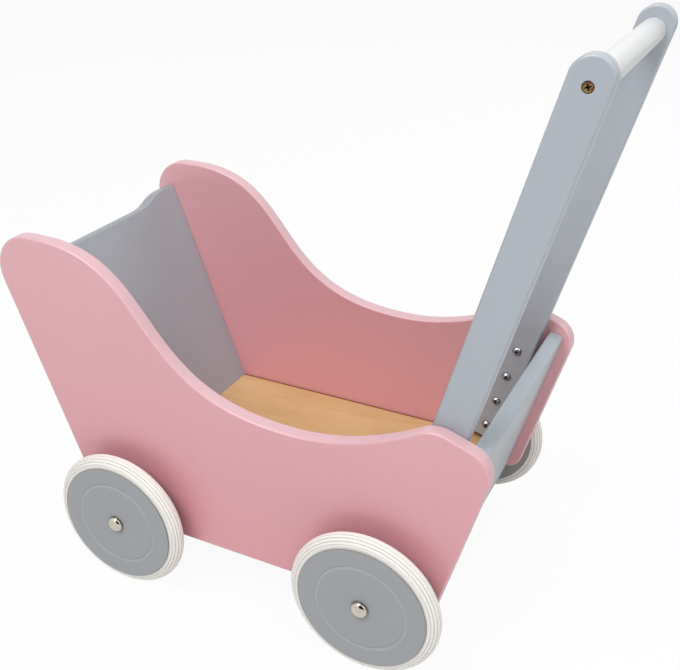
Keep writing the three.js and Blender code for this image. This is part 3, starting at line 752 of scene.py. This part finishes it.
def board_rows(outline, thickness, radius, origin, across, up, through):
    """Rows of a board: origin + across * u + up * v + through * depth, the outline (u, v) being inset."""
    inset, depth = edge_rows(thickness, radius)
    sheet = outline[None] - mitres(outline)[None] * inset[:, None, None]
    return (np.asarray(origin) + sheet[..., :1] * np.asarray(across) + sheet[..., 1:] * np.asarray(up)
            + depth[:, None, None] * np.asarray(through))


# rounded edges get a painted colour: a paler painted sheen on pink, a darker painted shade on grey
edge_sheen_and_shade = edge_share(edge_rows(BOARD, EDGE_ROUND)[0], EDGE_ROUND)
for side_name, side in SIDES.items():
    node = f"side_panel_{side_name}"
    rows = board_rows(SIDE_OUTLINE, BOARD, EDGE_ROUND, (0, side * side_inner, 0),
                      (1, 0, 0), (0, 0, 1), (0, side, 0))
    skin(f"side_board_{side_name}", rows, PINK, "pram", node, painted_mark=edge_sheen_and_shade[:, None])
    print(node, "skin:", rows.shape)

# %% [markdown]
# ## Head and foot boards
# Both lean outwards between the sides, and only their top edge is rounded. The head board's top edge dips
# in the middle. A sheet could be bent to that wave, but it is simpler to carry one section from side to
# side: from the lower edge up the outer face, round the top and down the inner face. At every y only the
# top moves, to the height of the wave.

# %% Leaning boards
HEAD_INSET, FOOT_INSET = 9 * MM, 9.4 * MM
HEAD_LENGTH, HEAD_WAVE, FOOT_LENGTH = 221 * MM, 8 * MM, 145.7 * MM
HEAD_DIP_HALF, HEAD_WAVE_RUN = 42 * MM, 46 * MM
WAVE_ROWS = 140
HEAD_EDGE_SHADE, EDGE_SHADE = 0.8, 0.15  # how strongly the grey edges are painted darker, a painted shade


def wave(y):
    """Rise of the head board's top edge: an S-shaped Bezier curve over each wave, level at both ends."""
    run = bezier((0, 0), (0.5, 0), (0.5, 1), (1, 1))
    return HEAD_WAVE * np.interp((np.abs(y) - HEAD_DIP_HALF) / HEAD_WAVE_RUN, run[:, 0], run[:, 1])


def leaning_board(node, start_x, up, inward, top):
    """Rows along y. Section: up the outer face (w = 0), round the top by r, down the inner face (w = T)."""
    low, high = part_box(node)
    y = np.linspace(low.y, high.y, WAVE_ROWS)
    drop, depth = edge_rows(BOARD, EDGE_ROUND)
    w = np.concatenate([[0], depth, [BOARD]])
    v = np.empty((len(y), len(w)))
    v[:, 1:-1] = top(y)[:, None] - drop
    v[:, 0] = 0
    v[:, -1] = -BOARD * inward[1] / up[1]
    x = start_x + v * up[0] + w * inward[0]
    z = low.z + v * up[1] + w * inward[1]
    return np.stack([x, np.broadcast_to(y[:, None], v.shape), z], axis=-1)


head_rows = leaning_board(
    "head_panel", lean_x(front_normal, front_reach - HEAD_INSET, SIDE_BOTTOM),
    (-math.sin(FRONT_LEAN), math.cos(FRONT_LEAN)), -front_normal, lambda y: HEAD_LENGTH + wave(y))
foot_rows = leaning_board(
    "foot_panel", lean_x(rear_normal, rear_reach - FOOT_INSET, SIDE_BOTTOM),
    (math.sin(REAR_LEAN), math.cos(REAR_LEAN)), -rear_normal, lambda y: FOOT_LENGTH + 0 * y)
# painted shade on the grey top edges of the head and foot boards
top_edge_shade = np.concatenate([[0], edge_sheen_and_shade, [0]])
skin("head_board", head_rows, GREY, "pram", "head_panel", painted_mark=HEAD_EDGE_SHADE * top_edge_shade)
skin("foot_board", foot_rows, GREY, "pram", "foot_panel", painted_mark=EDGE_SHADE * top_edge_shade)
print("head and foot boards:", head_rows.shape, foot_rows.shape)

# %% [markdown]
# ## Handle arms
# Each arm is a board with a half-round upper end, and its outer face has a countersunk hole for the screw
# that holds the bar. A boolean could cut it, but leaves thin triangles that spoil the shading. So the face
# round the hole is two flat faces that meet on a line through it, and the hole is a cone down to the shank.

# %% Handle arms
ARM_ROUND = 1.6 * MM
ARM_WIDTH, ARM_LENGTH = 26.4 * MM, 388.3 * MM
SINK_MOUTH, SINK_NECK, SINK_LIP = 3.7 * MM, 2.3 * MM, 0.4 * MM
HOLE_POINTS = 64
arm_up = np.array([math.sin(REAR_LEAN), 0, math.cos(REAR_LEAN)])
arm_across = np.array([math.cos(REAR_LEAN), 0, -math.sin(REAR_LEAN)])


def arm_outline(below, above):
    """Loop from the rear edge at the screw, over the round end and down round the square lower end.

    The second value is the number of the point on the other edge at the screw.
    """
    half = ARM_WIDTH / 2
    top = arc((0, above - half), half, 0, math.pi)
    return np.vstack([[(half, 0)], top, [(-half, 0), (-half, -below), (half, -below)]]), len(top) + 1


def sunk_hole(origin, thickness, through):
    """Rings of the countersunk hole, from the outer face: mouth and lip, then a cone down to the neck."""
    a = np.linspace(0, 2 * math.pi, HOLE_POINTS, endpoint=False)
    radius = np.array([SINK_MOUTH, SINK_MOUTH, SINK_NECK])
    depth = thickness - np.array([0, SINK_LIP, SINK_LIP + SINK_MOUTH - SINK_NECK])
    circle = np.cos(a)[:, None] * arm_across + np.sin(a)[:, None] * arm_up
    return (np.asarray(origin) + radius[:, None, None] * circle[None]
            + depth[:, None, None] * np.asarray(through))


def handle_arm(side_name, side):
    """Board rows and the rings of the hole, joined by two faces round the mouth of the hole."""
    node = f"handle_arm_{side_name}"
    inner, outer = node_depths(node)
    above = ARM_WIDTH / 2 + (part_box(node)[1].z - ARM_WIDTH / 2 - bar_axis[2]) / arm_up[2]
    outline, left = arm_outline(ARM_LENGTH - above, above)
    origin = (bar_axis[0], side * inner, bar_axis[2])
    rows = board_rows(outline, outer - inner, ARM_ROUND, origin, arm_across, arm_up, (0, side, 0))
    hole = sunk_hole(origin, outer - inner, (0, side, 0))
    count, around = rows.shape[:2]
    start = count * around
    end = start + len(hole) * HOLE_POINTS
    rim = np.arange(start - around, start)
    mouth = np.arange(start, start + HOLE_POINTS)
    half = HOLE_POINTS // 2
    faces = [
        *ring_quads(count, around, False),
        *(ring_quads(len(hole), HOLE_POINTS, False) + start),
        np.arange(around),
        np.arange(end - HOLE_POINTS, end),
        np.concatenate([rim[:left + 1], mouth[half::-1]]),
        np.concatenate([rim[left:], rim[:1], mouth[:1], mouth[:half - 1:-1]]),
    ]
    points = np.vstack([rows.reshape(-1, 3), hole.reshape(-1, 3)])
    # painted shade on the arm's rounded edges
    arm_edge_shade = EDGE_SHADE * edge_share(edge_rows(outer - inner, ARM_ROUND)[0], ARM_ROUND)
    painted_mark = np.append(np.repeat(arm_edge_shade, around), np.zeros(end - start))
    faces = [face.tolist() for face in faces]
    return make_piece(f"arm_{side_name}", points, faces, GREY, "pram", node, painted_mark)


for side_name, side in SIDES.items():
    arm = handle_arm(side_name, side)
    print(arm.name, len(arm.data.polygons), "faces")

# %% [markdown]
# ## Turned pieces
# The bar, wheels, tyres, axles, washers and caps are turned on a lathe or are round in the same way. The
# Screw modifier could sweep a profile too, but an array keeps the rows at hand for the masks. A profile of
# radius and depth, in millimetres, is swept round a line along Y. Its corners are eased with a short curve,
# because a perfectly sharp edge never catches the light and looks false.

# %% Lathe
EASE_STEPS = 4
EASE_LIMIT = 0.45  # share of the shorter side that an eased corner may take
NEAR_AXIS = 0.05  # radius at which a profile that ends on the axis is closed


def eased(profile, cut):
    """Corners of an open profile as P + c((1 - t)^2 a + t^2 b), where a and b point to the neighbours."""
    profile = np.asarray(profile, float) * MM
    before, corner, after = profile[:-2], profile[1:-1], profile[2:]
    a, b = before - corner, after - corner
    shorter = np.minimum(np.linalg.norm(a, axis=1), np.linalg.norm(b, axis=1))
    c = np.minimum(cut * MM, EASE_LIMIT * shorter)
    a *= (c / np.linalg.norm(a, axis=1))[:, None]
    b *= (c / np.linalg.norm(b, axis=1))[:, None]
    t = np.linspace(0, 1, EASE_STEPS + 1)[None, :, None]
    bend = corner[:, None] + (1 - t) ** 2 * a[:, None] + t ** 2 * b[:, None]
    return np.vstack([profile[:1], bend.reshape(-1, 2), profile[-1:]])


def lathe(profile, centre, side, around):
    """Rows of a turned piece: (x + r cos a, y + side * d, z + r sin a) for each radius r and depth d."""
    a = np.linspace(0, 2 * math.pi, around, endpoint=False)
    radius, depth = profile[:, 0, None], profile[:, 1, None]
    ring = np.ones_like(a)
    return np.stack([
        centre[0] + radius * np.cos(a),
        centre[1] + side * depth * ring,
        centre[2] + radius * np.sin(a),
    ], axis=-1)


print("corners are eased in", EASE_STEPS, "steps")

# %% Bar and axles
BAR_RADIUS, BAR_EASE = 9.0, 1.5
AXLE_RADIUS, AXLE_EASE = 3.0, 0.6
TURN_STEPS, AXLE_STEPS = 96, 48


def rod(name, node, radius, ease, steps, material):
    """A plain rod with eased ends, as long as its node."""
    half = half_extent(node, 1)
    profile = eased([(NEAR_AXIS, -half), (radius, -half), (radius, half), (NEAR_AXIS, half)], ease)
    skin(name, lathe(profile, node_middle(node), 1, steps), material, "pram", node)
    print(name, round(2 * half, 1), "mm long")


rod("grip_bar", "handle_bar", BAR_RADIUS, BAR_EASE, TURN_STEPS, WHITE)
for end in ENDS:
    rod(f"axle_rod_{end}", f"axle_{end}", AXLE_RADIUS, AXLE_EASE, AXLE_STEPS, STEEL)

# %% [markdown]
# ## Wheels
# A wheel is a painted disc with a seat turned into its rim and one shallow ring on its outer face. The tyre
# is a band of ribs: its radius is a crown, level on the middle rib and falling off by the square of the
# distance, with grooves at even steps round the section. A bump could fake them, but they also show at the
# edge of the wheel. The painted shade in the grooves, a darker band along the rim, and a lighter ring that
# is a painted highlight are an attribute of the surface, which the material reads.

# %% Wheel profiles
DISC_RADIUS, DISC_BOARD, DISC_EASE = 51.5, 16.0, 0.7
BORE, BORE_SEAM = 3.3, 0.5  # the profile starts and ends in the bore, this far apart
RIM_FLANGE, RIM_DEPTH, SEAT_GAP, RIM_LINE = 1.0, 2.0, 0.3, 0.9
# RING_LIGHT and RING_SOFT set the width of the painted highlight along the ring
RING_RADIUS, RING_WIDTH, RING_DEPTH, RING_LIGHT, RING_SOFT = 36.0, 3.6, 1.0, 1.0, 0.6
WHEEL_RADIUS, TYRE_CROWN, MIDDLE_FLAT = 60.0, 5.4, 0.67
GROOVES, FIRST_GROOVE, GROOVE_STEP, GROOVE_HALF, GROOVE_DEPTH = 4, 1.5, 2.6, 0.6, 0.8
TYRE_STEPS, WALL_STEPS = 121, 14


def smooth(t):
    """Smooth step 3t^2 - 2t^3."""
    return t * t * (3 - 2 * t)


def disc_profile():
    """Bore, inner face, lip, tyre seat, lip, outer face with its ring; depth 0 is the inner face."""
    seat, middle, half = DISC_RADIUS - RIM_DEPTH, DISC_BOARD / 2, RING_WIDTH / 2
    return eased([
        (BORE, middle), (BORE, 0), (DISC_RADIUS, 0), (DISC_RADIUS, RIM_FLANGE), (seat, RIM_FLANGE),
        (seat, DISC_BOARD - RIM_FLANGE), (DISC_RADIUS, DISC_BOARD - RIM_FLANGE), (DISC_RADIUS, DISC_BOARD),
        (DISC_RADIUS - 2 * RIM_LINE, DISC_BOARD), (RING_RADIUS + half, DISC_BOARD),
        (RING_RADIUS, DISC_BOARD - RING_DEPTH), (RING_RADIUS - half, DISC_BOARD),
        (BORE, DISC_BOARD), (BORE, middle + BORE_SEAM),
    ], DISC_EASE)


def tyre_profile():
    """Closed band: seat, side wall, crown, side wall. Crown: R - c((|y| - flat) / (half - flat))^2.

    Grooves lie at even steps along the section on both sides of the middle rib. Each lowers the surface
    along its normal by a smooth step of the distance.
    """
    half = DISC_BOARD / 2 - RIM_FLANGE - SEAT_GAP
    y = np.linspace(-half, half, TYRE_STEPS)
    fall = np.maximum(0, np.abs(y) - MIDDLE_FLAT) / (half - MIDDLE_FLAT)
    radius = WHEEL_RADIUS - TYRE_CROWN * fall ** 2
    wall = np.linspace(DISC_RADIUS, radius[0], WALL_STEPS, endpoint=False)
    edge = np.full(WALL_STEPS, half)
    section = np.stack([
        np.concatenate([wall, radius, wall[::-1]]),
        np.concatenate([-edge, y, edge]),
    ], axis=-1)
    step = np.gradient(section, axis=0)
    step /= np.linalg.norm(step, axis=1, keepdims=True)
    run = run_along(section)
    lines = FIRST_GROOVE + GROOVE_STEP * np.arange(GROOVES)
    away = np.abs(np.abs(run - run[-1] / 2)[:, None] - lines).min(axis=1)
    groove = 1 - smooth(np.clip(away / GROOVE_HALF, 0, 1))
    section -= GROOVE_DEPTH * groove[:, None] * np.stack([step[:, 1], -step[:, 0]], axis=-1)
    seat = DISC_RADIUS - RIM_DEPTH + SEAT_GAP
    band = np.vstack([[(seat, -half)], section, [(seat, half)]])
    return (band + (0, DISC_BOARD / 2)) * MM, np.concatenate([[0], groove, [0]])


disc_turning = disc_profile()
disc_radius = disc_turning[:, 0] / MM
disc_rim = np.clip((disc_radius - DISC_RADIUS) / RIM_LINE + 1, 0, 1)
# painted highlight along the shallow ring
ring_highlight = np.clip((RING_LIGHT - np.abs(disc_radius - RING_RADIUS)) / RING_SOFT + 0.5, 0, 1)
# the groove depth also gives the painted shade in the grooves
tyre_turning, groove_shade = tyre_profile()
print("profiles:", len(disc_turning), "rows on a disc,", len(tyre_turning), "on a tyre")

# %% Discs and tyres
WHEEL_STEPS = 180
WHEELS = [(f"{end}_{side_name}", axle_x[end], side) for end in ENDS for side_name, side in SIDES.items()]


def on_axle(node, x, side):
    """Point on an axle's line where a node's inner face lies."""
    return x, side * node_depths(node)[0], axle_z


for where, x, side in WHEELS:
    body, hub = f"wheel_{where}", on_axle(f"wheel_disc_{where}", x, side)
    skin(f"disc_{where}", lathe(disc_turning, hub, side, WHEEL_STEPS), WHEEL_GREY, body,
         f"wheel_disc_{where}", closed_rows=True, painted_mark=(disc_rim - ring_highlight)[:, None])
    skin(f"ribbed_tyre_{where}", lathe(tyre_turning, hub, side, WHEEL_STEPS), RUBBER, body,
         f"tyre_{where}", closed_rows=True, painted_mark=groove_shade[:, None])
print("wheels:", len(WHEELS), "with", 2 * GROOVES, "grooves each")

# %% [markdown]
# ## Hub hardware
# Behind each wheel a steel washer and a nylon spacer keep it off the board. In front a polished cap is
# pushed on the end of the axle: a low flange and a dome. A flattened sphere would do for the dome, but a
# quarter of an ellipse on the lathe meets the flange in a clean seam. The mask darkens the flange's edge,
# a painted shadow line.

# %% Caps, washers and spacers
CAP_RADIUS, CAP_HEIGHT, CAP_FLANGE, CAP_EDGE, CAP_EASE = 7.0, 4.5, 0.9, 0.45, 0.3
DOME_STEPS, DOME_STOP = 24, 0.02  # the dome stops this angle short of its top
COLLAR_SEAM, COLLAR_EASE = 0.05, 0.25  # the profile starts and ends in the bore, this share apart


def dome(radius, height, base):
    """Quarter ellipse from the rim at the base to the top: (radius cos a, base + height sin a)."""
    a = np.linspace(0, math.pi / 2 - DOME_STOP, DOME_STEPS)
    return np.stack([radius * np.cos(a), base + height * np.sin(a)], axis=-1) * MM


def cap_profile():
    """Flat underside, flange with an eased edge, and the dome set a little inside the flange."""
    inside = CAP_RADIUS - CAP_EDGE
    flange = [(NEAR_AXIS, 0), (CAP_RADIUS, 0), (CAP_RADIUS, CAP_FLANGE), (inside, CAP_FLANGE)]
    return np.vstack([eased(flange, CAP_EASE), dome(inside, CAP_HEIGHT - CAP_FLANGE, CAP_FLANGE)[1:]])


def collar_profile(inner, outer, length):
    """Ring with a bore, closed on itself."""
    start, end = length / 2, length * (0.5 + COLLAR_SEAM)
    corners = [(inner, 0), (outer, 0), (outer, length), (inner, length)]
    return eased([(inner, start), *corners, (inner, end)], COLLAR_EASE)


cap_turning = cap_profile()
# painted shadow line on the flange's edge
cap_flange_shade = (cap_turning[:, :1] > (CAP_RADIUS - CAP_EDGE) * MM).astype(float)
for where, x, side in WHEELS:
    node = f"hub_cap_{where}"
    rows = lathe(cap_turning, on_axle(node, x, side), side, TURN_STEPS)
    skin(f"turned_{node}", rows, CHROME, "pram", node, painted_mark=cap_flange_shade)
    for kind, material, slot in (("wheel_washer", STEEL, "steel"), ("wheel_spacer", NYLON, "nylon")):
        node = f"{kind}_{where}"
        turning = collar_profile(BORE, half_extent(node, 2), 2 * half_extent(node, 1))
        rows = lathe(turning, on_axle(node, x, side), side, TURN_STEPS)
        skin(f"turned_{node}", rows, material, "pram", node, closed_rows=True)
print("caps are", 2 * CAP_RADIUS, "mm across")

# %% [markdown]
# ## Screws
# The arm screws have domed heads and the bar's screws flat ones, all with a cross recess. A boolean cut
# would be sharp and dark at this size, so the head is a polar grid, whose height is lowered by a mask: a
# cross made of two bars with soft edges, deeper towards the middle. The same rows go on under the head and
# along the shank, so the skin is closed. The recess and the rim of the head are painted dark, as painted
# shade.

# %% Screw shapes
SCREW_STEPS = 96
HEAD_STEPS, HEAD_MIDDLE = 36, 0.02  # rows over the head, and the share of its radius where they start
SHANK_RADIUS, SCREW_POINT = 2.0, 2.5
SLOT_REACH = 0.56  # as a share of the head's radius
SLOT_HALF, SLOT_DEPTH = 0.21, 0.72  # as shares of the reach
SLOT_SOFT, SLOT_TAPER = 0.14, 0.55
RIM_DARK, DARK_FROM = 0.78, 0.4  # where the painted shade on the rim starts, and the share of the depth that is all painted shade


def soft_step(distance):
    """0 outside, 1 inside, over a soft edge."""
    return smooth(np.clip(distance / SLOT_SOFT * 0.5 + 0.5, 0, 1))


def cross_recess(x, y, reach):
    """Depth of the cross at a point of the head: two crossed bars, tapering from the middle outwards."""
    half = SLOT_HALF * reach
    upright = soft_step(half - np.abs(x)) * soft_step(reach - np.abs(y))
    level = soft_step(half - np.abs(y)) * soft_step(reach - np.abs(x))
    taper = 1 - SLOT_TAPER * np.minimum(1, np.hypot(x, y) / reach)
    return SLOT_DEPTH * reach * np.maximum(upright, level) * taper


def screw_head(radius, height=0.0, power=2.0):
    """Radius and height over the head: height * (1 - (r / R)^power)."""
    r = np.linspace(HEAD_MIDDLE, 1, HEAD_STEPS)
    return np.stack([radius * r, height * (1 - r ** power)], axis=-1)


def screw_shank(top, length):
    """Radius and height under the head: a straight shank and a point."""
    return np.array([(SHANK_RADIUS, top), (SHANK_RADIUS, SCREW_POINT - length), (NEAR_AXIS, -length)])


def screw_rows(head, shank, centre, side, twist):
    """Rows from the middle of the head outwards, then along the shank, and how much painted shade each
    point gets.

    Side is the direction along y from the tip to the head, and twist turns the cross.
    """
    a = np.linspace(0, 2 * math.pi, SCREW_STEPS, endpoint=False)
    radius, height = np.vstack([head, shank]).T[..., None]
    x, z = radius * np.cos(a), radius * np.sin(a)
    recess = cross_recess(x, z, SLOT_REACH * head[-1, 0])
    sunk = np.where(np.arange(len(radius))[:, None] < len(head), recess, 0.0)
    out = height - sunk
    cos, sin = math.cos(twist), math.sin(twist)
    rows = np.asarray(centre) + np.stack([x * cos - z * sin, side * out, x * sin + z * cos], axis=-1) * MM
    rim = np.clip((radius / head[-1, 0] - RIM_DARK) / (1 - RIM_DARK), 0, 1)
    return rows, np.maximum(np.clip(sunk / (DARK_FROM * recess.max()), 0, 1), rim)


print("cross recess reaches", SLOT_REACH, "of a head's radius")

# %% Screws
ARM_SCREWS = 4
ARM_HEAD, ARM_HEAD_HEIGHT, ARM_HEAD_POWER = 4.0, 2.6, 2.4
ARM_TWIST, ARM_TWIST_STEP = 0.4, 0.7  # each screw of an arm stops at its own angle
BAR_HEAD, BAR_TWIST = 3.4, 0.35
arm_head, bar_head = screw_head(ARM_HEAD, ARM_HEAD_HEIGHT, ARM_HEAD_POWER), screw_head(BAR_HEAD)


def screw(kind, node, head, shank, y, side, twist, material):
    """A screw on its node's axis, with the rim of its head at y."""
    x, _, z = node_middle(node)
    rows, dark = screw_rows(head, shank, (x, y, z), side, twist)
    skin(f"{kind}_{node}", rows, material, "pram", node, painted_mark=dark)


for side_name, side in SIDES.items():
    for number in range(1, ARM_SCREWS + 1):
        node = f"arm_screw_{number}_{side_name}"
        y = side * (node_depths(node)[0] + ARM_HEAD_HEIGHT * MM)
        shank = screw_shank(0, 2 * half_extent(node, 1) - ARM_HEAD_HEIGHT)
        twist = ARM_TWIST + ARM_TWIST_STEP * number
        screw("domed", node, arm_head, shank, y, -side, twist, STEEL)
    node = f"handle_screw_{side_name}"
    y = side * node_depths(node)[1]
    shank = screw_shank(SHANK_RADIUS - BAR_HEAD, 2 * half_extent(node, 1))
    screw("sunk", node, bar_head, shank, y, side, BAR_TWIST, BRASS)
print("screws:", len(SIDES) * (ARM_SCREWS + 1))

# %% [markdown]
# ## What stays from the frame
# The plywood floor is a plain sheet with bevelled ends, and the dowels are hidden in their holes. A finer
# surface would add nothing to them, so their solids stay as they are and only get their wood.

# %% Floor and dowels
wood_nodes = [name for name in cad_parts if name.startswith(("floor_panel", "dowel"))]
for node in wood_nodes:
    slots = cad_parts[node].data.materials
    slots.clear()
    slots.append(PLY if node == "floor_panel" else BEECH)
print("wood on", len(wood_nodes), "solids")
